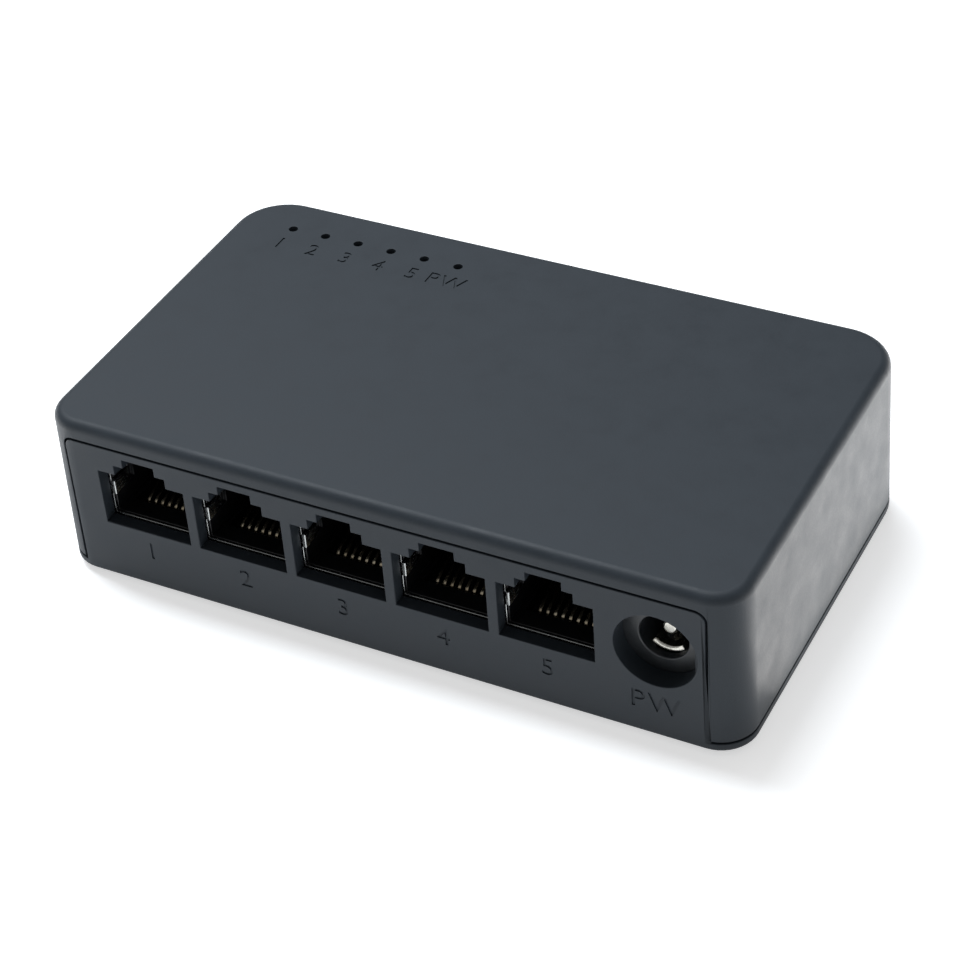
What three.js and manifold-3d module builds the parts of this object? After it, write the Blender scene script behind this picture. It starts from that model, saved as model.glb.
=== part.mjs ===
// Five-port desktop network switch: a two-part plastic case, a ganged block of five shielded
// 8P8C jacks, a coaxial power inlet, and the circuit board with its lamps behind them.
// Millimetres, +Z up. Inside the body group x = 0 is the middle of the case, y = 0 is its front
// face at the bottom edge, and z = 0 is the underside of the base.

import * as THREE from 'three';
import { mergeVertices } from 'three/addons/utils/BufferGeometryUtils.js';
import Module from 'manifold-3d';

const wasm = await Module();
wasm.setup();

// Case
const caseDepth = 56.3;
const caseHeight = 23.8;
const draft = 0.5; // each wall leans in by this much from bottom to top
const frontCorner = 4.8;
const backCorner = 7.2;
const topRound = 1.0;
const bottomRound = 0.5;
const wall = 2.0;
const cornerSteps = 4;
const rimSteps = 3;
const rimHeight = 1.2; // strip of the base that shows below the cover
const seamGap = 0.3;
const tongueHeight = 2.0;
const tongueThickness = 1.2;
const fitGap = 0.3; // between pieces that slide together

// Front panel, part of the base
const panelMargin = 3.65;
const panelTopMargin = 2.05;
const panelCorner = 2.0;
const panelThickness = 1.8;
const lipReach = 1.2;
const lipThickness = 1.0;

// Jack mouths in the panel
const portCount = 5;
const portPitch = 13.97;
const jackToSide = 6.835; // jack block to the left side of the case
const portWidth = 12.54;
const portHeight = 8.24;
const shoulderWidth = 7.5;
const shoulderRise = 1.44;
const keyWidth = 4.65;
const keyRise = 2.75;

// Jack block
const jackHeight = 13.4; // board to the top of the shield
const jackTopGap = 0.9;
const jackDepth = 16.0;
const jackSideWall = 0.7;
const mouthAboveBoard = 1.5;
const mouthReveal = 0.12;
const cavityStep = 0.15;
const cavityDepth = 12.6;
const sheet = 0.3;
const sheetGap = 0.1;
const fingerHeight = 2.0;
const fingerLift = 3.1; // mouth floor to the foot of the finger
const fingerLength = 3.4;
const fingerBulge = 0.75;

// Contacts
const contactCount = 8;
const contactPitch = 1.016;
const wireWidth = 0.42;
const wireThickness = 0.34;
const bendRadius = 0.75;
const bendSetback = 3.0; // jack face to the front of the bend
const bendAboveFloor = 0.45;
const springRise = 0.35; // slope of the free leg, in radians
const springLength = 8.4;
const insertWidth = 9.8;
const insertFloor = 0.75;
const combDepth = 1.3;
const pinDrop = 3.2;

// Power inlet
const inletToJacks = 6.225; // inlet's middle to the jack block
const inletToSide = 11.19; // inlet's middle to the right side of the case
const inletAboveBoard = 5.7;
const inletHoleRadius = 5.17;
const inletBoreRadius = 3.13;
const inletPinRadius = 1.0;
const inletFaceGap = 1.1; // back of the panel to the face of the inlet
const pinSetback = 1.7; // face of the inlet to the tip of its pin
const inletWidth = 9.0;
const inletHeight = 10.4;
const inletNoseRadius = 4.5;
const inletNose = 1.3;
const inletNoseRound = 0.6;
const inletFlange = 2.6;
const inletDepth = 14.0;
const inletBoreDepth = 9.6;
const leafWidth = 2.4;
const leafThickness = 0.3;

// Circuit board
const boardThickness = 1.6;
const boardGap = 1.4; // board edge to the walls
const boardFrontSetback = 4.4;
const boardScrewBehindJacks = 5.5;
const boardScrewInset = 4.2;

// Lamps
const lampPitch = 5.08;
const lampToSide = 9.25; // first lamp to the left side of the case
const lampCount = 6;
const lampFromBack = 7.1;
const lampHoleRadius = 0.62;
const lampTube = 3.6;
const shroudWall = 0.8;
const lampSkin = 1.4;
const lampBody = [2.4, 2.4, 1.1];

// Chip leads
const leadReach = 1.1;

// Feet and screws
const footRadius = 4.2;
const footProud = 0.8;
const footRecess = 0.7;
const footInset = 10.0;
const screwRadius = 1.2;
const screwHeadRadius = 2.4;
const screwHeadHeight = 1.5;
const bossRadius = 2.9;
const bossInsetX = 6.8;
const bossFromBack = 18.3;

// Underside vents
const ventCount = 6;
const ventPitch = 4.6;
const ventWidth = 1.8;
const ventLength = 15.0;
const ventGroupX = 17.0;

// Worked out from the above
const jackWidth = portCount * portPitch + 2 * jackSideWall;
const caseWidth = jackToSide + jackWidth + inletToJacks + inletToSide;
const jackX = -caseWidth / 2 + jackToSide;
const jackX2 = jackX + jackWidth;
const inletX = jackX2 + inletToJacks;
const firstLampX = -caseWidth / 2 + lampToSide;
const jackTop = caseHeight - wall - jackTopGap;
const boardTop = jackTop - jackHeight;
const boardBottom = boardTop - boardThickness;
const portFloor = boardTop + mouthAboveBoard;
const shieldFront = panelThickness + fitGap;
const jackFront = shieldFront + sheet + sheetGap;
const cavityGrow = -mouthReveal - cavityStep;
const cavityFloor = portFloor - cavityGrow;
const jackBack = jackFront + jackDepth;
const boardScrewY = jackBack + boardScrewBehindJacks;
const inletFace = panelThickness + inletFaceGap;
const lipBack = wall + fitGap + lipThickness;
const inletZ = boardTop + inletAboveBoard;
const lampY = caseDepth - lampFromBack;
const shroudReach = lampTube / 2 + shroudWall;
const shroudFront = lampY - shroudReach;
const bossX = caseWidth / 2 - bossInsetX;
const bossY = caseDepth - bossFromBack;
const postTop = wall + screwHeadHeight;
const boardScrewX = caseWidth / 2 - wall - boardGap - boardScrewInset;

function portX(k) {
  return jackX + jackSideWall + (k + 0.5) * portPitch;
}

function lampX(k) {
  return firstLampX + k * lampPitch;
}

// Booleans

function solid(geometry) {
  const bare = geometry.clone();
  bare.deleteAttribute('normal');
  bare.deleteAttribute('uv');
  const merged = mergeVertices(bare, 1e-4);
  return new wasm.Manifold(new wasm.Mesh({
    numProp: 3,
    vertProperties: Float32Array.from(merged.attributes.position.array),
    triVerts: Uint32Array.from(merged.index.array),
  }));
}

function geometryOf(body) {
  const mesh = body.getMesh();
  const geometry = new THREE.BufferGeometry();
  geometry.setAttribute('position', new THREE.BufferAttribute(mesh.vertProperties, 3));
  geometry.setIndex(new THREE.BufferAttribute(mesh.triVerts, 1));
  geometry.computeVertexNormals();
  return geometry;
}

function joined(bodies) {
  return bodies.reduce((sum, body) => sum.add(body));
}

// Plain forms

function block(x0, x1, y0, y1, z0, z1) {
  const geometry = new THREE.BoxGeometry(x1 - x0, y1 - y0, z1 - z0);
  return solid(geometry.translate((x0 + x1) / 2, (y0 + y1) / 2, (z0 + z1) / 2));
}

function post(x, y, z0, z1, radius, sides = 16) {
  const geometry = new THREE.CylinderGeometry(radius, radius, z1 - z0, sides);
  return solid(geometry.rotateX(Math.PI / 2).translate(x, y, (z0 + z1) / 2));
}

function drum(x, z, y0, y1, radius, sides = 28) {
  const geometry = new THREE.CylinderGeometry(radius, radius, y1 - y0, sides);
  return solid(geometry.translate(x, (y0 + y1) / 2, z));
}

// A shape drawn in x and z, pushed from y0 back to y1
function frontPrism(shape, y0, y1, curveSegments = 6) {
  const geometry = new THREE.ExtrudeGeometry(shape, { depth: y1 - y0, bevelEnabled: false, curveSegments });
  return solid(geometry.rotateX(Math.PI / 2).translate(0, y1, 0));
}

// A side profile drawn in y and z, pushed across from x0 to x1
function sidePrism(shape, x0, x1, curveSegments = 3) {
  const geometry = new THREE.ExtrudeGeometry(shape, { depth: x1 - x0, bevelEnabled: false, curveSegments });
  const turn = new THREE.Matrix4().makeBasis(
    new THREE.Vector3(0, 1, 0),
    new THREE.Vector3(0, 0, 1),
    new THREE.Vector3(1, 0, 0),
  );
  return solid(geometry.applyMatrix4(turn).translate(x0, 0, 0));
}

// A plan drawn in x and y, raised from z0 to z1
function planPrism(shape, z0, z1, curveSegments = 6) {
  const geometry = new THREE.ExtrudeGeometry(shape, { depth: z1 - z0, bevelEnabled: false, curveSegments });
  return solid(geometry.translate(0, 0, z0));
}

// Outlines

// Plan of the case drawn in by `inset`, with tighter corners at the front than at the back
function casePlan(inset) {
  const x = caseWidth / 2 - inset;
  const y0 = inset;
  const y1 = caseDepth - inset;
  const front = Math.max(frontCorner - inset, 0.4);
  const back = Math.max(backCorner - inset, 0.4);
  const shape = new THREE.Shape();
  shape.absarc(x - front, y0 + front, front, -Math.PI / 2, 0);
  shape.absarc(x - back, y1 - back, back, 0, Math.PI / 2);
  shape.absarc(-x + back, y1 - back, back, Math.PI / 2, Math.PI);
  shape.absarc(-x + front, y0 + front, front, Math.PI, Math.PI * 1.5);
  shape.closePath();
  return shape;
}

// Skins a stack of outlines, each [z, points] with equally many points, into one closed body
function lofted(levels) {
  const count = levels[0][1].length;
  const places = levels.flatMap(([z, points]) => points.flatMap((point) => [point.x, point.y, z]));
  const faces = [];
  for (let level = 0; level < levels.length - 1; level += 1) {
    for (let k = 0; k < count; k += 1) {
      const a = level * count + k;
      const b = level * count + ((k + 1) % count);
      faces.push(a, b, b + count, a, b + count, a + count);
    }
  }
  const last = (levels.length - 1) * count;
  for (const [a, b, c] of THREE.ShapeUtils.triangulateShape(levels[0][1], [])) {
    faces.push(c, b, a, last + a, last + b, last + c);
  }
  const geometry = new THREE.BufferGeometry();
  geometry.setAttribute('position', new THREE.Float32BufferAttribute(places, 3));
  geometry.setIndex(faces);
  return solid(geometry);
}

// One level of the case plan; the walls lean in by the moulding draft as they rise
function caseLevel(z, inset) {
  const points = casePlan(inset + (draft * z) / caseHeight).extractPoints(cornerSteps).shape;
  const closes = points[0].distanceTo(points[points.length - 1]) < 1e-6;
  return [z, closes ? points.slice(0, -1) : points];
}

// Room inside the walls, or a core for them: the case plan drawn in by `inset`, from z0 to z1
function caseCore(inset, z0, z1) {
  return lofted([caseLevel(z0, inset), caseLevel(z1, inset)]);
}

// Outer form of the closed case: rounded top rim, finer rounding under the base
function caseForm() {
  const levels = [];
  for (let step = 0; step <= rimSteps; step += 1) {
    const turn = (step / rimSteps) * (Math.PI / 2);
    levels.push(caseLevel(bottomRound * (1 - Math.cos(turn)), bottomRound * (1 - Math.sin(turn))));
  }
  for (let step = 0; step <= rimSteps; step += 1) {
    const turn = (step / rimSteps) * (Math.PI / 2);
    levels.push(caseLevel(caseHeight - topRound * (1 - Math.sin(turn)), topRound * (1 - Math.cos(turn))));
  }
  return lofted(levels);
}

// The front panel's outline in x and z, grown by `grow`, open downwards past the base
function panelShape(grow) {
  const half = caseWidth / 2 - panelMargin + grow;
  const top = caseHeight - panelTopMargin + grow;
  const corner = panelCorner + grow;
  const shape = new THREE.Shape();
  shape.moveTo(-half, -wall);
  shape.lineTo(half, -wall);
  shape.absarc(half - corner, top - corner, corner, 0, Math.PI / 2);
  shape.absarc(-half + corner, top - corner, corner, Math.PI / 2, Math.PI);
  shape.closePath();
  return shape;
}

// Stepped mouth of one jack about x = 0: plug body, shoulders, latch key
function mouthShape(grow) {
  const half = [portWidth, shoulderWidth, keyWidth].map((size) => size / 2 + grow);
  const level = [0, shoulderRise, keyRise].map((rise) => portFloor + portHeight + rise + grow);
  const shape = new THREE.Shape();
  shape.moveTo(-half[0], portFloor - grow);
  shape.lineTo(half[0], portFloor - grow);
  shape.lineTo(half[0], level[0]);
  for (const step of [1, 2]) {
    shape.lineTo(half[step], level[step - 1]);
    shape.lineTo(half[step], level[step]);
  }
  for (const step of [2, 1]) {
    shape.lineTo(-half[step], level[step]);
    shape.lineTo(-half[step], level[step - 1]);
  }
  shape.lineTo(-half[0], level[0]);
  shape.closePath();
  return shape;
}

// A slot with round ends lying along y
function slotShape(x, y, length, breadth) {
  const radius = breadth / 2;
  const reach = length / 2 - radius;
  const shape = new THREE.Shape();
  shape.absarc(x, y + reach, radius, 0, Math.PI);
  shape.absarc(x, y - reach, radius, Math.PI, Math.PI * 2);
  shape.closePath();
  return shape;
}

const sides = [-1, 1];
const ports = Array.from({ length: portCount }, (_, k) => k);
const lamps = Array.from({ length: lampCount }, (_, k) => k);

// Case pieces

function coverSolid() {
  const seam = rimHeight + seamGap;
  const below = block(-caseWidth, caseWidth, -caseDepth, 2 * caseDepth, -caseHeight, seam);
  const ceiling = caseHeight - wall;
  const hollow = caseCore(wall, -1, ceiling);
  let cover = caseForm().subtract(hollow).subtract(below);
  cover = cover.subtract(frontPrism(panelShape(seamGap), -wall, lipBack + fitGap));
  for (const side of sides) {
    cover = cover.add(post(side * bossX, bossY, postTop + fitGap, ceiling + 0.5, bossRadius));
    cover = cover.subtract(post(side * bossX, bossY, 0, ceiling - wall, screwRadius + fitGap / 2, 12));
  }
  return cover.add(lampShroud(ceiling)).subtract(joined(lamps.map((k) => lampPassage(k))));
}

// Block under the ceiling that keeps the light of each lamp in its own tube
function lampShroud(ceiling) {
  const left = lampX(0) - shroudReach;
  const right = lampX(lampCount - 1) + shroudReach;
  const foot = boardTop + lampBody[2] + fitGap;
  return block(left, right, shroudFront, lampY + shroudReach, foot, ceiling + 0.5);
}

function lampPassage(k) {
  const half = lampTube / 2;
  const tubeTop = caseHeight - lampSkin;
  const tube = block(lampX(k) - half, lampX(k) + half, lampY - half, lampY + half, boardTop, tubeTop);
  return tube.add(post(lampX(k), lampY, tubeTop - 0.5, caseHeight + 1, lampHoleRadius, 16));
}

function baseSolid() {
  const wide = [-caseWidth, caseWidth, -caseDepth, 2 * caseDepth];
  const inside = caseCore(wall + fitGap, 0, caseHeight);
  const wellTop = rimHeight + seamGap + tongueHeight;
  const well = caseCore(wall + fitGap + tongueThickness, wall, wellTop + 1);
  const tray = block(...wide, rimHeight / 2, wellTop).subtract(well);
  const frontClear = block(-caseWidth, caseWidth, -1, lipBack, wall, wellTop + 1);
  const rim = block(...wide, -1, rimHeight);
  const panel = frontPrism(panelShape(0), -wall, panelThickness);
  let base = caseForm().intersect(rim.add(panel));
  base = base.add(inside.intersect(tray).subtract(frontClear));
  base = base.add(joined(sides.map((side) => panelLip(side, inside))));
  for (const side of sides) {
    base = base.add(post(side * bossX, bossY, wall / 2, postTop, screwHeadRadius + fitGap + 1.2));
    base = base.add(post(side * boardScrewX, boardScrewY, wall / 2, boardBottom, screwHeadRadius));
  }
  base = base.subtract(joined(sides.map((side) => caseScrewHole(side))));
  base = base.subtract(joined(sides.map((side) => boardScrewHole(side))));
  base = base.subtract(joined(footPlaces().map(([x, y]) => post(x, y, -1, footRecess, footRadius + fitGap, 20))));
  base = base.subtract(panelOpenings());
  return base.subtract(vents());
}

// Upright strip that backs the seam beside the panel
function panelLip(side, room) {
  const edge = caseWidth / 2 - panelMargin - draft;
  const top = caseHeight - panelTopMargin - panelCorner;
  const root = block(edge - lipReach, edge, panelThickness / 2, lipBack, wall / 2, top);
  const strip = block(edge - lipReach, edge + 2 * lipReach, wall + fitGap, lipBack, wall / 2, top);
  const lip = root.add(strip.intersect(room));
  return side > 0 ? lip : lip.mirror([1, 0, 0]);
}

function caseScrewHole(side) {
  const head = post(side * bossX, bossY, -1, screwHeadHeight + fitGap, screwHeadRadius + fitGap);
  return head.add(post(side * bossX, bossY, 0, postTop + 1, screwRadius + fitGap, 12));
}

function boardScrewHole(side) {
  return post(side * boardScrewX, boardScrewY, wall, boardBottom + 1, screwRadius + fitGap / 2, 12);
}

function footPlaces() {
  const x = caseWidth / 2 - footInset;
  const back = caseDepth - footInset;
  return [[-x, footInset], [x, footInset], [-x, back], [x, back]];
}

function panelOpenings() {
  const cut = frontPrism(mouthShape(0), -1, panelThickness + 1);
  const mouths = joined(ports.map((k) => cut.translate([portX(k), 0, 0])));
  return mouths.add(drum(inletX, inletZ, -1, panelThickness + 1, inletHoleRadius, 40));
}

function vents() {
  const slots = [];
  for (const side of sides) {
    for (let k = 0; k < ventCount; k += 1) {
      const x = side * ventGroupX + (k - (ventCount - 1) / 2) * ventPitch;
      slots.push(planPrism(slotShape(x, caseDepth / 2, ventLength, ventWidth), -1, wall + 1, 2));
    }
  }
  return joined(slots);
}

// Jack block

function housingSolid() {
  const top = jackTop - sheet - sheetGap;
  let housing = block(jackX, jackX2, jackFront, jackBack, boardTop + fitGap, top);
  const cavity = frontPrism(mouthShape(cavityGrow), jackFront - 1, jackFront + cavityDepth);
  const pocket = insertPocket();
  for (const k of ports) {
    housing = housing.subtract(cavity.translate([portX(k), 0, 0]));
    housing = housing.subtract(pocket.translate([portX(k), 0, 0]));
  }
  for (const x of boardPegXs()) {
    housing = housing.add(post(x, boardPegY(), boardBottom - 1, boardTop + 1, screwRadius, 16));
  }
  return housing;
}

// Pegs stand in the walls between the outer pairs of jacks
function boardPegXs() {
  return [portX(0) + portPitch / 2, portX(portCount - 1) - portPitch / 2];
}

function boardPegY() {
  return jackFront + cavityDepth / 2;
}

// Room in the housing for one contact insert and for the spring fingers of the shield
function insertPocket() {
  const half = insertWidth / 2 + fitGap;
  const slotFront = jackFront + bendSetback - fitGap;
  const rear = jackFront + cavityDepth;
  const under = block(-half, half, slotFront, jackBack + 1, boardTop - 1, cavityFloor + 0.01);
  const behind = block(-half, half, rear - 1, jackBack + 1, boardTop - 1, insertTop() + fitGap);
  const foot = portFloor + fingerLift - fitGap;
  const head = foot + fingerHeight + 2 * fitGap;
  const reach = portWidth / 2 + 0.25;
  const recess = block(-reach, reach, jackFront - 1, jackFront + fingerLength + 0.8, foot, head);
  return under.add(behind).add(recess);
}

function insertTop() {
  return cavityFloor + bendAboveFloor + springLength * Math.sin(springRise) + wireThickness;
}

function shieldSolid() {
  const skin = sheet + sheetGap;
  const outer = block(jackX - skin, jackX2 + skin, shieldFront, jackBack + skin, boardTop + fitGap, jackTop);
  const inner = block(
    jackX - sheetGap, jackX2 + sheetGap, shieldFront + sheet, jackBack + sheetGap, boardTop - 1, jackTop - sheet,
  );
  const mouth = frontPrism(mouthShape(-mouthReveal), shieldFront - 1, shieldFront + sheet * 2);
  let shield = outer.subtract(inner);
  for (const k of ports) {
    shield = shield.subtract(mouth.translate([portX(k), 0, 0]));
    for (const side of sides) {
      const finger = side < 0 ? springFinger() : springFinger().mirror([1, 0, 0]);
      shield = shield.add(finger.translate([portX(k), 0, 0]));
    }
  }
  for (const x of [jackX - skin, jackX2 + sheetGap]) {
    for (const y of shieldLegYs()) {
      shield = shield.add(block(x, x + sheet, y - 0.8, y + 0.8, boardBottom - 1, boardTop + 1));
    }
  }
  return shield;
}

function shieldLegYs() {
  return [jackFront + 4, jackBack - 3];
}

// Earthing finger folded in at the left edge of a mouth, bowed towards the plug
function springFinger() {
  const edge = -portWidth / 2 + mouthReveal;
  const back = shieldFront + sheet + fingerLength;
  const mid = (shieldFront + back) / 2;
  const shape = new THREE.Shape();
  shape.moveTo(edge, shieldFront);
  shape.quadraticCurveTo(edge + fingerBulge + sheet, mid, edge, back);
  shape.lineTo(edge - sheet, back);
  shape.quadraticCurveTo(edge + fingerBulge, mid, edge - sheet, shieldFront + sheet);
  shape.lineTo(edge - sheet, shieldFront);
  shape.closePath();
  const foot = portFloor + fingerLift;
  return planPrism(shape, foot, foot + fingerHeight, 6);
}

// Contact insert: plastic carrier with eight spring wires and their board pins

function insertSolid() {
  const half = insertWidth / 2;
  const front = jackFront + bendSetback + bendRadius;
  const rear = jackFront + cavityDepth;
  const floorTop = bendCentre().z - bendRadius + insertFloor / 2;
  const floorFoot = floorTop - insertFloor;
  const plate = block(-half, half, front, jackBack - fitGap, floorFoot, floorTop);
  const rearBlock = block(-half, half, rear + fitGap, jackBack - fitGap, floorFoot, insertTop());
  let insert = plate.add(rearBlock);
  for (let k = 0; k < contactCount; k += 1) {
    const x = (k - (contactCount - 1) / 2) * contactPitch;
    insert = insert.add(wireSolid(x)).add(boardPin(x, k));
    insert = insert.add(combTooth(x + contactPitch / 2));
  }
  return insert.add(combTooth(-(contactCount / 2) * contactPitch));
}

function bendCentre() {
  return { y: jackFront + bendSetback + bendRadius, z: cavityFloor + bendAboveFloor - bendRadius };
}

// One spring wire: a buried leg, a tight bend round the front, a free leg rising to the back
function wireSolid(x) {
  const { y, z } = bendCentre();
  const inner = bendRadius - wireThickness;
  const start = -Math.PI / 2;
  const finish = -Math.PI * 1.5 + springRise;
  const along = [Math.cos(springRise), Math.sin(springRise)];
  const up = [-along[1], along[0]];
  const tip = (radius) => [
    y + up[0] * radius + along[0] * springLength,
    z + up[1] * radius + along[1] * springLength,
  ];
  const rear = y + springLength;
  const shape = new THREE.Shape();
  shape.moveTo(rear, z - bendRadius);
  shape.absarc(y, z, bendRadius, start, finish, true);
  shape.lineTo(...tip(bendRadius));
  shape.lineTo(...tip(inner));
  shape.absarc(y, z, inner, finish, start, false);
  shape.lineTo(rear, z - inner);
  shape.closePath();
  return sidePrism(shape, x - wireWidth / 2, x + wireWidth / 2, 2);
}

function combTooth(x) {
  const rear = jackFront + cavityDepth;
  const halfTooth = (contactPitch - wireWidth) / 2 - 0.12;
  const foot = cavityFloor;
  return block(x - halfTooth, x + halfTooth, rear - combDepth, rear + fitGap + 0.2, foot, insertTop());
}

function pinY(k) {
  return jackBack - 1.5 - (k % 2) * 1.8;
}

function boardPin(x, k) {
  const half = wireWidth / 2;
  return block(x - half, x + half, pinY(k) - half, pinY(k) + half, boardTop - pinDrop, cavityFloor);
}

// Power inlet

function inletSolid() {
  const half = inletWidth / 2;
  const foot = boardTop + 0.1;
  const rear = inletFace + inletDepth;
  const boreEnd = inletFace + inletBoreDepth;
  const flangeFront = inletFace + inletNose;
  const flange = block(inletX - half, inletX + half, flangeFront, flangeFront + inletFlange, foot, foot + inletHeight);
  const barrel = new THREE.Shape();
  barrel.moveTo(inletX - half + 0.4, foot);
  barrel.lineTo(inletX + half - 0.4, foot);
  barrel.absarc(inletX, inletZ, half - 0.4, 0, Math.PI);
  barrel.closePath();
  let body = flange.add(frontPrism(barrel, flangeFront + 1, rear, 8)).add(noseSolid());
  body = body.subtract(drum(inletX, inletZ, inletFace - 1, boreEnd, inletBoreRadius, 32));
  body = body.subtract(drum(inletX, inletZ, boreEnd - 1, rear + 1, inletPinRadius + fitGap / 2, 16));
  const slot = leafWidth / 2 + fitGap;
  return body.subtract(block(inletX - slot, inletX + slot, inletFace + 1, boreEnd - 0.6, foot - 1, inletZ - 1));
}

// Round nose of the inlet with a rounded rim; it stands in the panel's hole
function noseSolid() {
  const profile = [new THREE.Vector2(0, 0)];
  for (let k = 0; k <= 3; k += 1) {
    const turn = (k / 3) * (Math.PI / 2);
    const radius = inletNoseRadius - inletNoseRound * (1 - Math.sin(turn));
    profile.push(new THREE.Vector2(radius, inletNoseRound * (1 - Math.cos(turn))));
  }
  profile.push(new THREE.Vector2(inletNoseRadius, inletNose + 1));
  profile.push(new THREE.Vector2(0, inletNose + 1));
  return solid(new THREE.LatheGeometry(profile, 28).translate(inletX, inletFace, inletZ));
}

// Centre pin with a domed tip, a rear shank and a flat solder lug
function inletPinSolid() {
  const tip = inletFace + pinSetback;
  const rear = inletFace + inletDepth;
  const dome = inletPinRadius * 0.55;
  const profile = [new THREE.Vector2(0, 0)];
  for (let k = 1; k <= 4; k += 1) {
    const turn = (k / 4) * (Math.PI / 2);
    profile.push(new THREE.Vector2(inletPinRadius * Math.sin(turn), dome * (1 - Math.cos(turn))));
  }
  profile.push(new THREE.Vector2(inletPinRadius, rear + 1 - tip));
  profile.push(new THREE.Vector2(0, rear + 1 - tip));
  const pin = solid(new THREE.LatheGeometry(profile, 20).translate(inletX, tip, inletZ));
  const lug = block(inletX - 1.2, inletX + 1.2, rear + 0.4, rear + 1, boardTop - pinDrop, inletZ + 1.4);
  return pin.add(lug);
}

// Leaf spring bowed up into the bore, with a lug through the board
function leafSolid() {
  const low = inletZ - inletBoreRadius + 0.1;
  const y0 = inletFace + 1.6;
  const y1 = inletFace + inletBoreDepth - 1.5;
  const mid = (y0 + y1) / 2;
  const rise = 2.0;
  const shape = new THREE.Shape();
  shape.moveTo(y0, low);
  shape.quadraticCurveTo(mid, low + rise, y1, low);
  shape.lineTo(y1, boardTop - pinDrop);
  shape.lineTo(y1 - leafThickness, boardTop - pinDrop);
  shape.lineTo(y1 - leafThickness, low - leafThickness);
  shape.quadraticCurveTo(mid, low + rise - leafThickness, y0, low - leafThickness);
  shape.closePath();
  return sidePrism(shape, inletX - leafWidth / 2, inletX + leafWidth / 2, 8);
}

// Circuit board

function boardSolid() {
  const plan = planPrism(casePlan(wall + boardGap), boardBottom, boardTop, 4);
  const board = plan.subtract(block(-caseWidth, caseWidth, 0, boardFrontSetback, 0, caseHeight));
  const through = (x, y, radius) => post(x, y, boardBottom - 1, boardTop + 1, radius, 16);
  const holes = [];
  for (const side of sides) {
    holes.push(through(side * bossX, bossY, bossRadius + fitGap * 2));
    holes.push(through(side * boardScrewX, boardScrewY, screwRadius + fitGap));
  }
  for (const x of boardPegXs()) {
    holes.push(through(x, boardPegY(), screwRadius + fitGap));
  }
  for (const k of ports) {
    const half = insertWidth / 2;
    holes.push(block(portX(k) - half, portX(k) + half, pinY(1) - 0.5, pinY(0) + 0.5, boardBottom - 1, boardTop + 1));
  }
  for (const x of [jackX - sheetGap - sheet / 2, jackX2 + sheetGap + sheet / 2]) {
    for (const y of shieldLegYs()) {
      holes.push(block(x - 0.5, x + 0.5, y - 1.1, y + 1.1, boardBottom - 1, boardTop + 1));
    }
  }
  const lugs = [inletFace + inletBoreDepth - 1.5 - leafThickness / 2, inletFace + inletDepth + 0.7];
  for (const y of lugs) {
    holes.push(block(inletX - 1.6, inletX + 1.6, y - 0.7, y + 0.7, boardBottom - 1, boardTop + 1));
  }
  return board.subtract(joined(holes));
}

// A moulded chip package with gull-wing leads along two or four sides
function chipSolid(size, height, leads, fourSides) {
  const half = size.map((side) => side / 2);
  let chip = block(-half[0], half[0], -half[1], half[1], 0.1, height);
  const row = (span, edge) => {
    const pitch = (2 * span - 1) / leads;
    return Array.from({ length: leads }, (_, k) => {
      const at = -span + 0.5 + pitch * (k + 0.5);
      return block(at - pitch / 4, at + pitch / 4, edge - 0.3, edge + leadReach, 0.05, 0.4);
    });
  };
  for (const turn of fourSides ? [0, 90, 180, 270] : [0, 180]) {
    const [span, edge] = turn % 180 === 0 ? half : [half[1], half[0]];
    chip = chip.add(joined(row(span, edge)).rotate([0, 0, turn]));
  }
  return chip;
}

function lampSolid() {
  const [x, y, z] = lampBody;
  const body = block(-x / 2, x / 2, -y / 2, y / 2, 0.05, z * 0.7);
  const lens = new THREE.SphereGeometry(0.85, 12, 8).scale(1, 1, 0.6).translate(0, 0, z * 0.6);
  return body.add(solid(lens).intersect(block(-1, 1, -1, 1, 0.3, z)));
}

function canSolid(radius, height) {
  const profile = [
    [0, 0.05], [radius, 0.05], [radius, 0.7], [radius - 0.25, 1.0], [radius, 1.3], [radius, height - 0.4],
    [radius - 0.4, height], [0, height],
  ].map(([r, z]) => new THREE.Vector2(r, z));
  return solid(new THREE.LatheGeometry(profile, 16).rotateX(Math.PI / 2));
}

function coilSolid(size, height) {
  const core = block(-size / 2, size / 2, -size / 2, size / 2, 0.05, height);
  return core.subtract(post(0, 0, height - 0.5, height + 1, size * 0.36, 20));
}

function crystalSolid() {
  const shape = slotShape(0, 0, 11.0, 4.6);
  const cap = planPrism(shape, 0.4, 3.6, 5);
  return cap.add(planPrism(slotShape(0, 0, 11.8, 5.4), 0.05, 0.6, 5));
}

// Screws and feet

function crossRecess(z0, z1) {
  return block(-1.2, 1.2, -0.25, 0.25, z0, z1).add(block(-0.25, 0.25, -1.2, 1.2, z0, z1));
}

// Pan head below the shank, driven from underneath
function caseScrewSolid() {
  const head = post(0, 0, 0, screwHeadHeight, screwHeadRadius);
  const shank = post(0, 0, screwHeadHeight / 2, screwHeadHeight + 9, screwRadius - 0.1, 12);
  return head.add(shank).subtract(crossRecess(-1, 0.8));
}

// Pan head above the board, driven from above
function boardScrewSolid() {
  const head = post(0, 0, 0.05, screwHeadHeight, screwHeadRadius);
  const shank = post(0, 0, wall + fitGap - boardTop, screwHeadHeight / 2, screwRadius - 0.1, 12);
  return head.add(shank).subtract(crossRecess(screwHeadHeight - 0.7, screwHeadHeight + 1));
}

function footSolid() {
  const edge = 0.5;
  const height = footProud + footRecess - 0.1;
  const profile = [
    [0, 0], [footRadius - edge, 0], [footRadius, edge], [footRadius, height], [0, height],
  ].map(([r, z]) => new THREE.Vector2(r, z));
  return solid(new THREE.LatheGeometry(profile, 20).rotateX(Math.PI / 2));
}

// Scene

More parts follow.
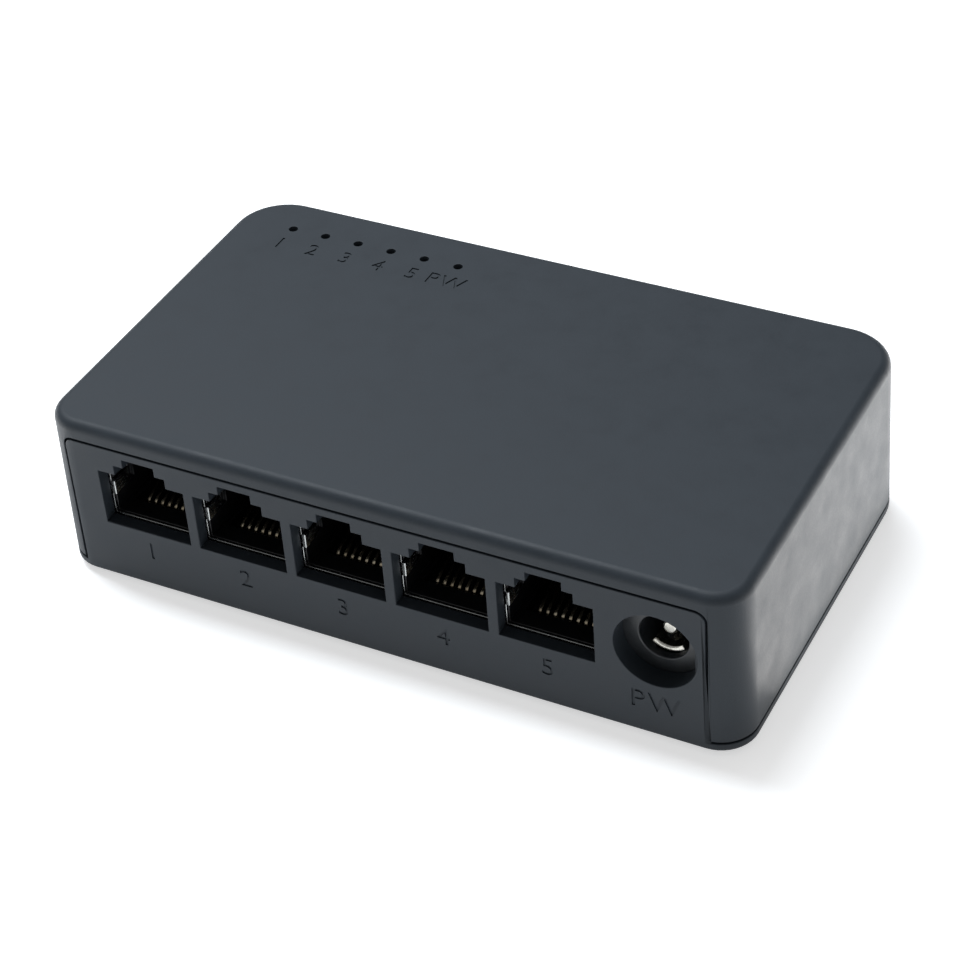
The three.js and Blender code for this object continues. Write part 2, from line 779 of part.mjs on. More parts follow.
const finishes = {
  shell: { color: 0x3b4046, roughness: 0.55, metalness: 0 },
  jackPlastic: { color: 0x0d0e0f, roughness: 0.35, metalness: 0 },
  plated: { color: 0xc9cbc8, roughness: 0.25, metalness: 1 },
  gilt: { color: 0xc8a45a, roughness: 0.25, metalness: 1 },
  laminate: { color: 0x1f5c38, roughness: 0.5, metalness: 0 },
  chip: { color: 0x17181a, roughness: 0.6, metalness: 0 },
  lens: { color: 0xc9d6c4, roughness: 0.3, metalness: 0 },
  rubber: { color: 0x191919, roughness: 0.9, metalness: 0 },
};

const body = new THREE.Group();
body.position.set(0, -caseDepth / 2, footProud);

function place(name, shape, finish, x = 0, y = 0, z = 0) {
  const mesh = new THREE.Mesh(geometryOf(shape), new THREE.MeshStandardMaterial(finishes[finish]));
  mesh.name = name;
  mesh.position.set(x, y, z);
  body.add(mesh);
  return mesh;
}

place('top_cover', coverSolid(), 'shell');
place('base_and_front_panel', baseSolid(), 'shell');
place('jack_housing', housingSolid(), 'jackPlastic');
place('jack_shield', shieldSolid(), 'plated');
place('circuit_board', boardSolid(), 'laminate');
place('inlet_body', inletSolid(), 'jackPlastic');
place('inlet_centre_pin', inletPinSolid(), 'plated');
place('inlet_leaf_spring', leafSolid(), 'plated');

for (const k of ports) {
  place(`contact_insert_${k + 1}`, insertSolid(), 'gilt', portX(k));
}

for (const k of lamps) {
  const name = k < portCount ? `port_lamp_${k + 1}` : 'power_lamp';
  place(name, lampSolid(), 'lens', lampX(k), lampY, boardTop);
}

const frontRowY = jackBack + 6.0;
const backRowY = shroudFront - 7.0;
for (const k of ports) {
  place(`line_transformer_${k + 1}`, chipSolid([7.4, 6.8], 2.6, 6, false), 'chip', portX(k), frontRowY, boardTop);
}
place('switch_chip', chipSolid([10, 10], 1.5, 8, true), 'chip', portX(2), backRowY, boardTop);
place('crystal', crystalSolid(), 'plated', portX(3) - 1, backRowY, boardTop);
place('regulator_chip', chipSolid([5, 4], 1.5, 4, false), 'chip', inletX - 2, backRowY + 1, boardTop);
place('power_coil', coilSolid(6, 3), 'chip', portX(4) - 1, backRowY, boardTop);
place('input_capacitor', canSolid(3.1, 7), 'plated', inletX - 5.5, frontRowY - 1, boardTop);
place('output_capacitor', canSolid(3.1, 7), 'plated', inletX - 5.5, frontRowY + 6, boardTop);

for (const side of sides) {
  const hand = side < 0 ? 'left' : 'right';
  place(`case_screw_${hand}`, caseScrewSolid(), 'plated', side * bossX, bossY, 0.1);
  place(`board_screw_${hand}`, boardScrewSolid(), 'plated', side * boardScrewX, boardScrewY, boardTop);
}

const footNames = ['front_left', 'front_right', 'back_left', 'back_right'];
footPlaces().forEach(([x, y], k) => {
  place(`foot_${footNames[k]}`, footSolid(), 'rubber', x, y, -footProud);
});

const networkSwitch = new THREE.Group();
networkSwitch.add(body);
networkSwitch.updateMatrixWorld(true);

export default networkSwitch;
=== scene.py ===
# Five-port desktop network switch on a pale table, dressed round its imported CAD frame
import math

import bmesh
import bpy
from mathutils import Matrix, Vector


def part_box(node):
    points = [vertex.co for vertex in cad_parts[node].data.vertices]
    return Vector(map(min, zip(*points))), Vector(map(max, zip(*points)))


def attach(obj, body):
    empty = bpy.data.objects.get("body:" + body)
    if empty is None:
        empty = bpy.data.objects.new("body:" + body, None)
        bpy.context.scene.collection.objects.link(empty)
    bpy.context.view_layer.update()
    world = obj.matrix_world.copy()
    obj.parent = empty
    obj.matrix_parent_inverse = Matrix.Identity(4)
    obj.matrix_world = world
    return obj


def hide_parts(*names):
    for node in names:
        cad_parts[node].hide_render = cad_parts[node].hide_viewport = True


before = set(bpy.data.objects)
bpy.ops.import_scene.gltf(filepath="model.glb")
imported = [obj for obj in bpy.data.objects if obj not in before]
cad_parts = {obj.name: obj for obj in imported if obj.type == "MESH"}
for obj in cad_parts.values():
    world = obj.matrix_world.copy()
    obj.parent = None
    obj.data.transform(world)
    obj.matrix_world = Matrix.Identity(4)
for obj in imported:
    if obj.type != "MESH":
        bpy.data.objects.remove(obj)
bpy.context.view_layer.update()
mm = 0.001
print("frame loaded:", len(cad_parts), "nodes")

# Camera, at the height and turn that show the top, the front and the right side

cameraSetup = {
    "aim": (0, -3.15, 11.8),
    "slide": (1.28, -1.40),
    "distance": 327.59,
    "azimuth": 29.42,
    "elevation": 38.36,
    "roll": -4.48,
    "lens": 95.97,
    "sensor": 36,
}


def addCamera(setup):
    turn = (
        Matrix.Rotation(math.radians(setup["azimuth"]), 3, "Z")
        @ Matrix.Rotation(math.radians(90 - setup["elevation"]), 3, "X")
        @ Matrix.Rotation(math.radians(setup["roll"]), 3, "Z")
    )
    place = Vector(setup["aim"]) + turn @ Vector((*setup["slide"], setup["distance"]))
    bpy.ops.object.camera_add(location=place * mm, rotation=turn.to_euler())
    camera = bpy.context.object
    camera.name = "camera"
    camera.data.lens = setup["lens"]
    camera.data.sensor_width = setup["sensor"]
    camera.data.clip_start = 0.01
    camera.data.clip_end = 20
    bpy.context.scene.camera = camera


addCamera(cameraSetup)

# Modelling helpers


def makeActive(*pieces):
    bpy.ops.object.select_all(action="DESELECT")
    for piece in pieces:
        piece.select_set(True)
    bpy.context.view_layer.objects.active = pieces[0]


def keepPlace(name):  # names what an operator has just made and puts its place into its mesh
    bpy.ops.object.transform_apply(location=True, rotation=True, scale=True)
    piece = bpy.context.object
    piece.name = name
    piece.data.name = name
    return piece


def addBox(name, low, high):
    bpy.ops.object.select_all(action="DESELECT")
    middle = [(a + b) / 2 for a, b in zip(low, high)]
    size = [b - a for a, b in zip(low, high)]
    bpy.ops.mesh.primitive_cube_add(size=1, location=middle, scale=size)
    return keepPlace(name)


def addRound(name, place, radius, depth, along="Z", sides=48):
    bpy.ops.object.select_all(action="DESELECT")
    turn = (math.pi / 2, 0, 0) if along == "Y" else (0, 0, 0)
    bpy.ops.mesh.primitive_cylinder_add(
        vertices=sides, radius=radius, depth=depth, location=place, rotation=turn
    )
    return keepPlace(name)


def choose(piece, kind, test):  # edit mode, with only what passes the test selected
    makeActive(piece)
    bpy.ops.object.mode_set(mode="EDIT")
    bpy.ops.mesh.select_mode(type=kind)
    bpy.ops.mesh.select_all(action="DESELECT")
    mesh = bmesh.from_edit_mesh(piece.data)
    mesh.normal_update()
    for part in {"VERT": mesh.verts, "EDGE": mesh.edges, "FACE": mesh.faces}[kind]:
        if test(part):
            part.select_set(True)
    bmesh.update_edit_mesh(piece.data)


def leaveEdit():
    bpy.ops.object.mode_set(mode="OBJECT")


def roundEdges(piece, size, steps, test):
    choose(piece, "EDGE", test)
    bpy.ops.mesh.bevel(offset=size, segments=steps, profile=0.5, affect="EDGES", clamp_overlap=False)
    leaveEdit()


def cleanUp(piece, gap=0.002 * mm):
    choose(piece, "VERT", lambda vert: True)
    bpy.ops.mesh.remove_doubles(threshold=gap)
    leaveEdit()


def applyModifier(piece, kind, **settings):
    made = piece.modifiers.new(kind.lower(), kind)
    for key, value in settings.items():
        setattr(made, key, value)
    makeActive(piece)
    bpy.ops.object.modifier_apply(modifier=made.name)


def combine(piece, tool, operation="DIFFERENCE"):
    applyModifier(piece, "BOOLEAN", operation=operation, object=tool, solver="EXACT")
    bpy.data.objects.remove(tool)


def joinAll(name, parts):
    makeActive(*parts)
    bpy.ops.object.join()
    joined = bpy.context.object
    joined.name = name
    joined.data.name = name
    return joined


def copyOf(piece, name, shift=(0, 0, 0)):
    twin = piece.copy()
    twin.data = piece.data.copy()
    twin.name = name
    twin.data.name = name
    bpy.context.collection.objects.link(twin)
    twin.data.transform(Matrix.Translation(Vector(shift)))
    return twin


def softEdges(piece, size, steps=2, angle=35):
    applyModifier(
        piece, "BEVEL", width=size, segments=steps, limit_method="ANGLE",
        angle_limit=math.radians(angle), use_clamp_overlap=False,
    )


def settle(piece, nodes, finish, angle=32):  # shading, finish, and its place in the frame
    makeActive(piece)
    bpy.ops.object.shade_smooth_by_angle(angle=math.radians(angle))
    applyModifier(piece, "WEIGHTED_NORMAL", keep_sharp=True, weight=80)
    piece.data.materials.clear()
    piece.data.materials.append(finish)
    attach(piece, "root")
    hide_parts(*nodes)
    return piece


# Shader helper: a socket that takes part in arithmetic


class shadeLine:
    def __init__(self, tree, socket):
        self.tree = tree
        self.socket = socket

    def node(self, kind, settings, inputs, out=0):
        made = self.tree.nodes.new(kind)
        for key, value in settings.items():
            setattr(made, key, value)
        for key, value in inputs.items():
            if isinstance(value, shadeLine):
                self.tree.links.new(value.socket, made.inputs[key])
            else:
                made.inputs[key].default_value = value
        return shadeLine(self.tree, made.outputs[out])

    def math(self, operation, *values):
        return self.node("ShaderNodeMath", {"operation": operation}, dict(enumerate(values)))

    def __add__(self, other):
        return self.math("ADD", self, other)

    def __radd__(self, other):
        return self.math("ADD", other, self)

    def __sub__(self, other):
        return self.math("SUBTRACT", self, other)

    def __rsub__(self, other):
        return self.math("SUBTRACT", other, self)

    def __mul__(self, other):
        return self.math("MULTIPLY", self, other)

    def __rmul__(self, other):
        return self.math("MULTIPLY", other, self)

    def __gt__(self, other):
        return self.math("GREATER_THAN", self, other)

    def __lt__(self, other):
        return self.math("LESS_THAN", self, other)

    def __abs__(self):
        return self.math("ABSOLUTE", self)

    def stretch(self, low, high, newLow, newHigh):
        limits = {"From Min": low, "From Max": high, "To Min": newLow, "To Max": newHigh}
        return self.node("ShaderNodeMapRange", {}, {"Value": self, **limits})

    def noise(self, scale, detail=3.0, rough=0.5, warp=0.0):
        values = {"Vector": self, "Scale": scale, "Detail": detail, "Roughness": rough, "Distortion": warp}
        return self.node("ShaderNodeTexNoise", {}, values)

    def cells(self, scale, feature="F1"):
        return self.node("ShaderNodeTexVoronoi", {"feature": feature}, {"Vector": self, "Scale": scale})

    def squeezed(self, scale):
        return self.node("ShaderNodeMapping", {}, {"Vector": self, "Scale": scale})

    def part(self, axis):
        return self.node("ShaderNodeSeparateXYZ", {}, {"Vector": self}, out="XYZ".index(axis))

    def mixed(self, first, second):  # a colour between two, by this factor
        return self.node("ShaderNodeMix", {"data_type": "RGBA"}, {0: self, 6: first, 7: second}, out=2)

    def bump(self, distance, strength=1.0):
        return self.node("ShaderNodeBump", {}, {"Height": self, "Distance": distance, "Strength": strength})


def startFinish(name, **fixed):  # a new material, its object coordinates and its shader
    finish = bpy.data.materials.new(name)
    finish.use_nodes = True
    tree = finish.node_tree
    shader = tree.nodes["Principled BSDF"]
    for key, value in fixed.items():
        shader.inputs[key.replace("_", " ")].default_value = value
    spot = shadeLine(tree, tree.nodes.new("ShaderNodeTexCoord").outputs["Object"])
    return finish, spot, shader


def feed(spot, shader, **lines):
    for key, line in lines.items():
        spot.tree.links.new(line.socket, shader.inputs[key.replace("_", " ")])


def linear(*colour):  # a display colour, 0 to 255, as the shader wants it
    return tuple(((part / 255 + 0.055) / 1.055) ** 2.4 for part in colour)


def solidColour(colour):
    return (*colour, 1)


# Finishes

shellLook = {
    "colour": linear(39, 45, 51),
    "dusty": linear(45, 51, 57),
    "grain": 4200,
    "fineGrain": 9500,
    "mottle": 260,
    "depth": 0.018 * mm,
    "rough": (0.46, 0.62),
}


def shellPlastic(look):
    finish, spot, shader = startFinish("casePlastic", IOR=1.46, Specular_IOR_Level=0.3)
    grain = spot.noise(look["grain"], 2.0, 0.6)
    fine = spot.noise(look["fineGrain"], 1.0, 0.5)
    mottle = spot.noise(look["mottle"], 4.0, 0.55)
    height = grain * 0.7 + fine * 0.3
    shade = (mottle * 0.55 + grain * 0.45).stretch(0.35, 0.65, 0.0, 1.0)
    feed(
        spot, shader,
        Base_Color=shade.mixed(solidColour(look["colour"]), solidColour(look["dusty"])),
        Roughness=(grain * 0.4 + mottle * 0.6).stretch(0.3, 0.7, *look["rough"]),
        Normal=height.bump(look["depth"], 0.8),
    )
    return finish


def glossPlastic(name, colour):
    finish, spot, shader = startFinish(name, IOR=1.5)
    flow = spot.squeezed((1, 0.35, 1)).noise(900, 3.0, 0.5)
    dust = spot.cells(1500).stretch(0.0, 0.12, 1.0, 0.0)
    feed(
        spot, shader,
        Base_Color=(dust * 0.25).mixed(solidColour(colour), solidColour(linear(52, 54, 56))),
        Roughness=flow.stretch(0.3, 0.7, 0.28, 0.42),
        Normal=flow.bump(0.006 * mm, 0.6),
    )
    return finish


def platedSteel(name, colour, stain, rough, streak, paintedShadeFrom=None):
    finish, spot, shader = startFinish(name, IOR=2.2, Metallic=1.0)
    brushed = spot.squeezed(streak).noise(2600, 3.0, 0.6)
    smudge = spot.noise(420, 4.0, 0.6, 0.4)
    shade = smudge.stretch(0.4, 0.75, 0.0, 1.0).mixed(solidColour(colour), solidColour(stain))
    # painted shade: from this depth back the wires are darkened towards a dark brown, standing in for the
    # shade inside the jack cavity, so only the front bend stays bright
    if paintedShadeFrom is not None:
        paintedShade = spot.part("Y").stretch(paintedShadeFrom, paintedShadeFrom + 1.1 * mm, 0.0, 0.85)
        shade = paintedShade.mixed(shade, solidColour(linear(52, 48, 42)))
    feed(
        spot, shader,
        Base_Color=shade,
        Roughness=(brushed * 0.6 + smudge * 0.4).stretch(0.3, 0.7, *rough),
        Normal=brushed.bump(0.003 * mm, 0.35),
    )
    return finish


def boardLaminate():
    finish, spot, shader = startFinish("boardLaminate", IOR=1.55)
    across = spot.squeezed((1, 0.08, 1)).cells(520, "DISTANCE_TO_EDGE")
    along = spot.squeezed((0.08, 1, 1)).cells(480, "DISTANCE_TO_EDGE")
    tracks = across.math("MINIMUM", across, along).stretch(0.03, 0.05, 1.0, 0.0)
    vias = spot.cells(700).stretch(0.1, 0.13, 1.0, 0.0)
    weave = spot.noise(5200, 2.0, 0.5)
    mask, track = linear(20, 66, 38), linear(46, 112, 62)
    green = (weave * 0.4 + tracks * 0.6).mixed(solidColour(mask), solidColour(track))
    feed(
        spot, shader,
        Base_Color=(vias * 0.6).mixed(green, solidColour(linear(176, 160, 104))),
        Roughness=weave.stretch(0.3, 0.7, 0.26, 0.4),
        Normal=(tracks * 0.8 + weave * 0.2).bump(0.02 * mm, 0.5),
    )
    return finish


def chipMoulding(name, low, high, leadLength):
    # moulded body with bright leads along its front and back edges
    finish, spot, shader = startFinish(name, IOR=1.5)
    middle = (low.y + high.y) / 2
    body = (high.y - low.y) / 2 - leadLength
    lead = abs(spot.part("Y") - middle) > body
    grain = spot.noise(5200, 3.0, 0.6)
    wear = spot.noise(600, 3.0, 0.5)
    black, worn = linear(24, 25, 27), linear(40, 41, 43)
    dark = wear.stretch(0.3, 0.7, 0.0, 1.0).mixed(solidColour(black), solidColour(worn))
    feed(
        spot, shader,
        Base_Color=lead.mixed(dark, solidColour(linear(188, 190, 186))),
        Roughness=grain.stretch(0.3, 0.7, 0.5, 0.7) - lead * 0.25,
        Metallic=lead,
        Normal=grain.bump(0.01 * mm, 0.6),
    )
    return finish


def canAluminium():
    finish, spot, shader = startFinish("capacitorCan", IOR=1.6)
    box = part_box("input_capacitor")
    sleeve = spot.part("Z") < (box[1].z - 0.7 * mm)
    grain = spot.noise(3800, 3.0, 0.6)
    feed(
        spot, shader,
        Base_Color=sleeve.mixed(solidColour(linear(196, 198, 200)), solidColour(linear(26, 30, 42))),
        Roughness=grain.stretch(0.3, 0.7, 0.3, 0.45),
        Metallic=1 - sleeve,
        Normal=grain.bump(0.006 * mm, 0.5),
    )
    return finish


def lampLens():
    finish, spot, shader = startFinish("lampLens", IOR=1.5)
    low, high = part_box("port_lamp_1")
    lens = spot.part("Z") > (low.z + 0.62 * (high.z - low.z))
    cloud = spot.noise(1800, 3.0, 0.5)
    milky = cloud.mixed(solidColour(linear(206, 212, 196)), solidColour(linear(176, 184, 160)))
    feed(
        spot, shader,
        Base_Color=lens.mixed(solidColour(linear(222, 222, 216)), milky),
        Roughness=cloud.stretch(0.3, 0.7, 0.2, 0.35),
        Normal=cloud.bump(0.01 * mm, 0.4),
    )
    return finish


def footRubber():
    finish, spot, shader = startFinish("footRubber", IOR=1.45, Sheen_Weight=0.1)
    pores = spot.cells(2600).stretch(0.0, 0.35, 0.0, 1.0)
    dust = spot.noise(420, 4.0, 0.6)
    feed(
        spot, shader,
        Base_Color=dust.stretch(0.4, 0.7, 0.0, 1.0).mixed(
            solidColour(linear(24, 24, 25)), solidColour(linear(48, 48, 47))
        ),
        Roughness=dust.stretch(0.3, 0.7, 0.72, 0.9),
        Normal=pores.bump(0.03 * mm, 0.5),
    )
    return finish


casePlastic = shellPlastic(shellLook)
blackPlastic = glossPlastic("jackPlastic", linear(17, 18, 20))
inletPlastic = glossPlastic("inletPlastic", linear(40, 43, 46))
platedShield = platedSteel(
    "platedShield", linear(206, 208, 206), linear(168, 172, 172), (0.2, 0.34), (1, 0.06, 1)
)
platedContact = platedSteel(
    "platedContact", linear(216, 214, 206), linear(184, 180, 168), (0.16, 0.3), (1, 0.2, 1)
)
# the last argument starts the painted shade on the wires, just behind their front bends
giltContact = platedSteel(
    "giltContact", linear(222, 210, 184), linear(196, 180, 150), (0.24, 0.38), (1, 0.12, 0.12),
    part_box("contact_insert_1")[0].y + 0.5 * mm,
)
screwSteel = platedSteel(
    "screwSteel", linear(150, 152, 154), linear(96, 97, 99), (0.26, 0.42), (0.4, 0.4, 1)
)
print("finishes ready")

# Case: the base with the front panel, and the cover over it

case = {
    "draft": 0.5 * mm,
    "frontCorner": 4.8 * mm,
    "backCorner": 7.2 * mm,
    "topRound": 1.35 * mm,
    "bottomRound": 0.5 * mm,
    "wall": 2.0 * mm,
    "rim": 1.2 * mm,
    "seam": 0.3 * mm,
    "edge": 0.12 * mm,
}
panel = {
    "leftMargin": 3.64 * mm,
    "rightMargin": 4.72 * mm,
    "topMargin": 2.64 * mm,
    "corner": 1.45 * mm,
    "gap": (0.24 * mm, -0.05 * mm),
    "thickness": 1.8 * mm,
    "lipBack": 3.3 * mm,
    "lipReach": 1.2 * mm,
    "lipHook": 1.3 * mm,
    "holeDepth": 8 * mm,
    "inletHole": 5.3 * mm,
    "holeShift": (0.13 * mm, 0.14 * mm),
    "collar": (5.75 * mm, 2.8 * mm),
}
ports = {
    "width": 12.54 * mm,
    "height": 8.24 * mm,
    "shoulder": (7.5 * mm, 1.44 * mm),
    "key": (4.65 * mm, 2.75 * mm),
    "floor": 9.0 * mm,
}
baseLow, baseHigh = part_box("base_and_front_panel")
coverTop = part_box("top_cover")[1].z
footZ = baseLow.z
caseHeight = coverTop - footZ
halfX = baseHigh.x
halfY = baseHigh.y - 0.01 * mm
seamZ = footZ + case["rim"] + case["seam"]
portXs = [sum(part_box(f"contact_insert_{k + 1}"), Vector()).x / 2 for k in range(5)]
pinLow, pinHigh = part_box("inlet_centre_pin")
inletLow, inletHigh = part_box("inlet_body")
inletX = (inletLow.x + inletHigh.x) / 2
inletZ = inletLow.z + 5.6 * mm
lampNames = [f"port_lamp_{k + 1}" for k in range(5)] + ["power_lamp"]
lampSpots = [sum(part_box(name), Vector()) / 2 for name in lampNames]


def lean(z):
    return case["draft"] * (z - footZ) / caseHeight


def skinDepth(place):  # how far inside the outer wall a point is, seen in plan
    radius = case["backCorner"] if place.y > 0 else case["frontCorner"]
    dx = abs(place.x) - (halfX - lean(place.z) - radius)
    dy = abs(place.y) - (halfY - (lean(place.z) if place.y > 0 else 0) - radius)
    return radius - math.hypot(max(dx, 0), max(dy, 0)) - min(max(dx, dy), 0)


def isSharp(edge):
    return len(edge.link_faces) == 2 and edge.calc_face_angle(0) > 0.6


def isSkinEdge(edge):
    return isSharp(edge) and all(abs(skinDepth(vert.co)) < 0.07 * mm for vert in edge.verts)


def caseBlock(name, inset, low, high):
    # the case's plan between two heights: the sides and the back lean in as it rises, the front doesn't
    front = -halfY + inset
    foot, head = [(halfX - inset - lean(z), halfY - inset - lean(z)) for z in (low, high)]
    piece = addBox(name, (-foot[0], front, low), (foot[0], foot[1], high))
    choose(piece, "FACE", lambda face: face.normal.z > 0.9)
    shrink = (head[0] / foot[0], (head[1] - front) / (foot[1] - front), 1)
    bpy.ops.transform.resize(value=shrink, center_override=(0, front, high))
    leaveEdit()
    for side, corner in ((-1, case["frontCorner"]), (1, case["backCorner"])):
        roundEdges(
            piece, corner - inset, 10,
            lambda edge: edge.verts[0].co.y * side > 0 and isUpright(edge, (high - low) * 0.9),
        )
    return piece


def isLevel(edge, z):
    return all(abs(vert.co.z - z) < 0.01 * mm for vert in edge.verts)


def isUpright(edge, least=mm):
    return abs(edge.verts[0].co.z - edge.verts[1].co.z) > least


def levelRound(piece, z, size, steps):  # rounds the rim that lies at one height
    roundEdges(piece, size, steps, lambda edge: isLevel(edge, z))


def archBlock(name, grow, back):  # the front panel's outline, pushed back from before the front face
    left = -halfX + panel["leftMargin"] - grow
    right = halfX - panel["rightMargin"] + grow
    top = coverTop - panel["topMargin"] + grow
    piece = addBox(name, (left, -halfY - mm, footZ - mm), (right, -halfY + back, top))
    roundEdges(
        piece, panel["corner"] + grow, 8,
        lambda edge: all(vert.co.z > top - 0.01 * mm for vert in edge.verts)
        and abs(edge.verts[0].co.x - edge.verts[1].co.x) < 0.01 * mm,
    )
    return piece


def addLegend(word, place, height, depth, upright):
    bpy.ops.object.select_all(action="DESELECT")
    bpy.ops.object.text_add()
    label = bpy.context.object
    label.data.body = word
    label.data.align_x = "CENTER"
    label.data.align_y = "CENTER"
    label.data.size = height / legends["capShare"]
    label.data.resolution_u = legends["steps"]
    label.data.extrude = depth
    label.data.space_character = legends["spacing"]
    bpy.ops.object.convert(target="MESH")
    label = bpy.context.object
    label.location = place
    if upright:
        label.rotation_euler.x = math.pi / 2
    keepPlace(f"legend_{word}")
    cleanUp(label)
    return label


legends = {
    "topHeight": 2.5 * mm,
    "topBehind": -3.8 * mm,
    "frontHeight": 2.7 * mm,
    "powerHeight": 2.9 * mm,
    "depth": 0.16 * mm,
    "capShare": 0.72,
    "steps": 5,
    "spacing": 1.15,
    "frontZ": 5.85 * mm,
    "powerZ": 5.1 * mm,
}
legendWords = ["1", "2", "3", "4", "5", "PW"]

lampPorts = {
    "hole": 0.62 * mm,
    "holeDepth": 4 * mm,
    "holeEdge": 0.1 * mm,
    "tube": 3.6 * mm,
    "skin": 1.4 * mm,
    "wall": 0.8 * mm,
}
bosses = {
    "fromSide": 6.8 * mm,
    "fromBack": 18.3 * mm,
    "radius": 2.9 * mm,
    "bore": 1.35 * mm,
    "boreEnd": 2 * mm,
    "head": 2.7 * mm,
    "foot": 3.8 * mm,
    "bite": 0.3 * mm,
}
bossX = halfX - bosses["fromSide"]
bossY = halfY - bosses["fromBack"]


def buildCover():
    cover = caseBlock("coverShell", 0, footZ, coverTop)
    levelRound(cover, coverTop, case["topRound"], 7)
    choose(cover, "FACE", lambda face: True)
    bpy.ops.mesh.bisect(plane_co=(0, 0, seamZ), plane_no=(0, 0, 1), use_fill=True, clear_inner=True)
    leaveEdit()
    ceiling = coverTop - case["wall"]
    combine(cover, caseBlock("room", case["wall"], footZ - mm, ceiling))
    combine(cover, archBlock("arch", panel["gap"][0], panel["lipBack"] + case["seam"]))
    roundEdges(cover, case["edge"], 3, isSkinEdge)
    reach = lampPorts["tube"] / 2 + lampPorts["wall"]
    first, last = lampSpots[0], lampSpots[-1]
    shroud = addBox(
        "shroud",
        (first.x - reach, first.y - reach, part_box(lampNames[0])[1].z + case["seam"]),
        (last.x + reach, first.y + reach, ceiling + bosses["bite"]),
    )
    combine(cover, shroud, "UNION")
    for side in (-1, 1):
        foot = footZ + bosses["foot"]
        postZ = (foot + ceiling + bosses["bite"]) / 2
        height = ceiling + bosses["bite"] - foot
        combine(cover, addRound("post", (side * bossX, bossY, postZ), bosses["radius"], height), "UNION")
        boreZ = (foot + ceiling) / 2 - bosses["boreEnd"]
        combine(cover, addRound("bore", (side * bossX, bossY, boreZ), bosses["bore"], ceiling - foot))
    for lamp in lampSpots:
        half = lampPorts["tube"] / 2
        top = coverTop - lampPorts["skin"]
        tube = addBox("tube", (lamp.x - half, lamp.y - half, footZ), (lamp.x + half, lamp.y + half, top))
        combine(cover, tube)
        holePlace = (lamp.x, lamp.y, coverTop)
        combine(cover, addRound("hole", holePlace, lampPorts["hole"], lampPorts["holeDepth"], sides=32))
    roundEdges(cover, lampPorts["holeEdge"], 2, lambda edge: isSharp(edge) and isLevel(edge, coverTop))
    for word, lamp in zip(legendWords, lampSpots):
        place = (lamp.x, lamp.y + legends["topBehind"], coverTop)
        combine(cover, addLegend(word, place, legends["topHeight"], legends["depth"], False))
    return cover


def mouthTool():  # one jack mouth: plug body, shoulders and latch key
    floor = footZ + ports["floor"]
    top = floor + ports["height"]
    front, back = -halfY - mm, -halfY + panel["thickness"] + mm
    tool = addBox("mouth", (-ports["width"] / 2, front, floor), (ports["width"] / 2, back, top))
    for breadth, rise in (ports["shoulder"], ports["key"]):
        step = addBox("step", (-breadth / 2, front, floor + mm), (breadth / 2, back, top + rise))
        combine(tool, step, "UNION")
    return tool


trayWall = {"rise": 2.0 * mm, "gap": 0.3 * mm, "foot": 0.6 * mm, "thick": 1.2 * mm}


def buildBase():
    base = caseBlock("baseShell", 0, footZ, coverTop)
    levelRound(base, coverTop, case["topRound"], 7)
    levelRound(base, footZ, case["bottomRound"], 4)
    far = (halfX + mm, halfY + mm, footZ + case["rim"])
    keep = addBox("keep", (-halfX - mm, -halfY - mm, footZ - mm), far)
    combine(keep, archBlock("arch", panel["gap"][1], panel["thickness"]), "UNION")
    combine(base, keep, "INTERSECT")
    tool = mouthTool()
    for x in portXs:
        combine(base, copyOf(tool, "mouthCut", (x, 0, 0)))
    bpy.data.objects.remove(tool)
    holeX, holeZ = inletX + panel["holeShift"][0], inletZ + panel["holeShift"][1]
    outer, reach = panel["collar"]
    collarY = -halfY + mm
    collarPlace = (holeX, collarY + (reach - mm) / 2, holeZ)
    combine(base, addRound("collar", collarPlace, outer, reach - mm, "Y", 72), "UNION")
    combine(base, addRound("hole", (holeX, -halfY, holeZ), panel["inletHole"], panel["holeDepth"], "Y", 72))
    roundEdges(base, case["edge"], 3, isSkinEdge)
    wellTop = seamZ + trayWall["rise"]
    inner = case["wall"] + trayWall["gap"]
    tray = caseBlock("tray", inner, footZ + trayWall["foot"], wellTop)
    combine(tray, caseBlock("well", inner + trayWall["thick"], footZ + case["wall"], wellTop + mm))
    far = (halfX, -halfY + panel["lipBack"], wellTop + mm)
    combine(tray, addBox("clear", (-halfX, -halfY - mm, footZ + case["wall"]), far))
    combine(base, tray, "UNION")
    lipTop = coverTop - panel["topMargin"] - panel["corner"]
    for side, margin in ((-1, panel["leftMargin"]), (1, panel["rightMargin"])):
        edgeX = halfX - margin - case["draft"]
        root = sorted((side * (edgeX - panel["lipReach"]), side * edgeX))
        wing = sorted((side * (edgeX - panel["lipReach"]), side * (edgeX + panel["lipHook"])))
        back = -halfY + panel["lipBack"]
        combine(base, addBox("lip", (root[0], -halfY + mm, footZ + mm), (root[1], back, lipTop)), "UNION")
        strip = addBox("strip", (wing[0], back - mm, footZ + mm), (wing[1], back, lipTop))
        combine(base, strip, "UNION")
    return base


def legendsOnPanel(base):
    for word, x in zip(legendWords, portXs):
        place = (x, -halfY, footZ + legends["frontZ"])
        combine(base, addLegend(word, place, legends["frontHeight"], legends["depth"], True))
    place = (inletX, -halfY, footZ + legends["powerZ"])
    combine(base, addLegend(legendWords[-1], place, legends["powerHeight"], legends["depth"], True))


underside = {
    "ventLength": 15 * mm,
    "ventWidth": 1.8 * mm,
    "ventDepth": 3 * mm,
    "ventPitch": 4.6 * mm,
    "ventGroup": 17 * mm,
    "ventCount": 6,
    "recess": 4.5 * mm,
    "recessTop": 0.7 * mm,
    "boardPost": 2.4 * mm,
    "boardBore": 7 * mm,
    "collar": (3.9 * mm, 3.5 * mm),
    "sink": 3.6 * mm,
    "screwHole": (1.5 * mm, 16 * mm),
    "edge": 0.12 * mm,
}


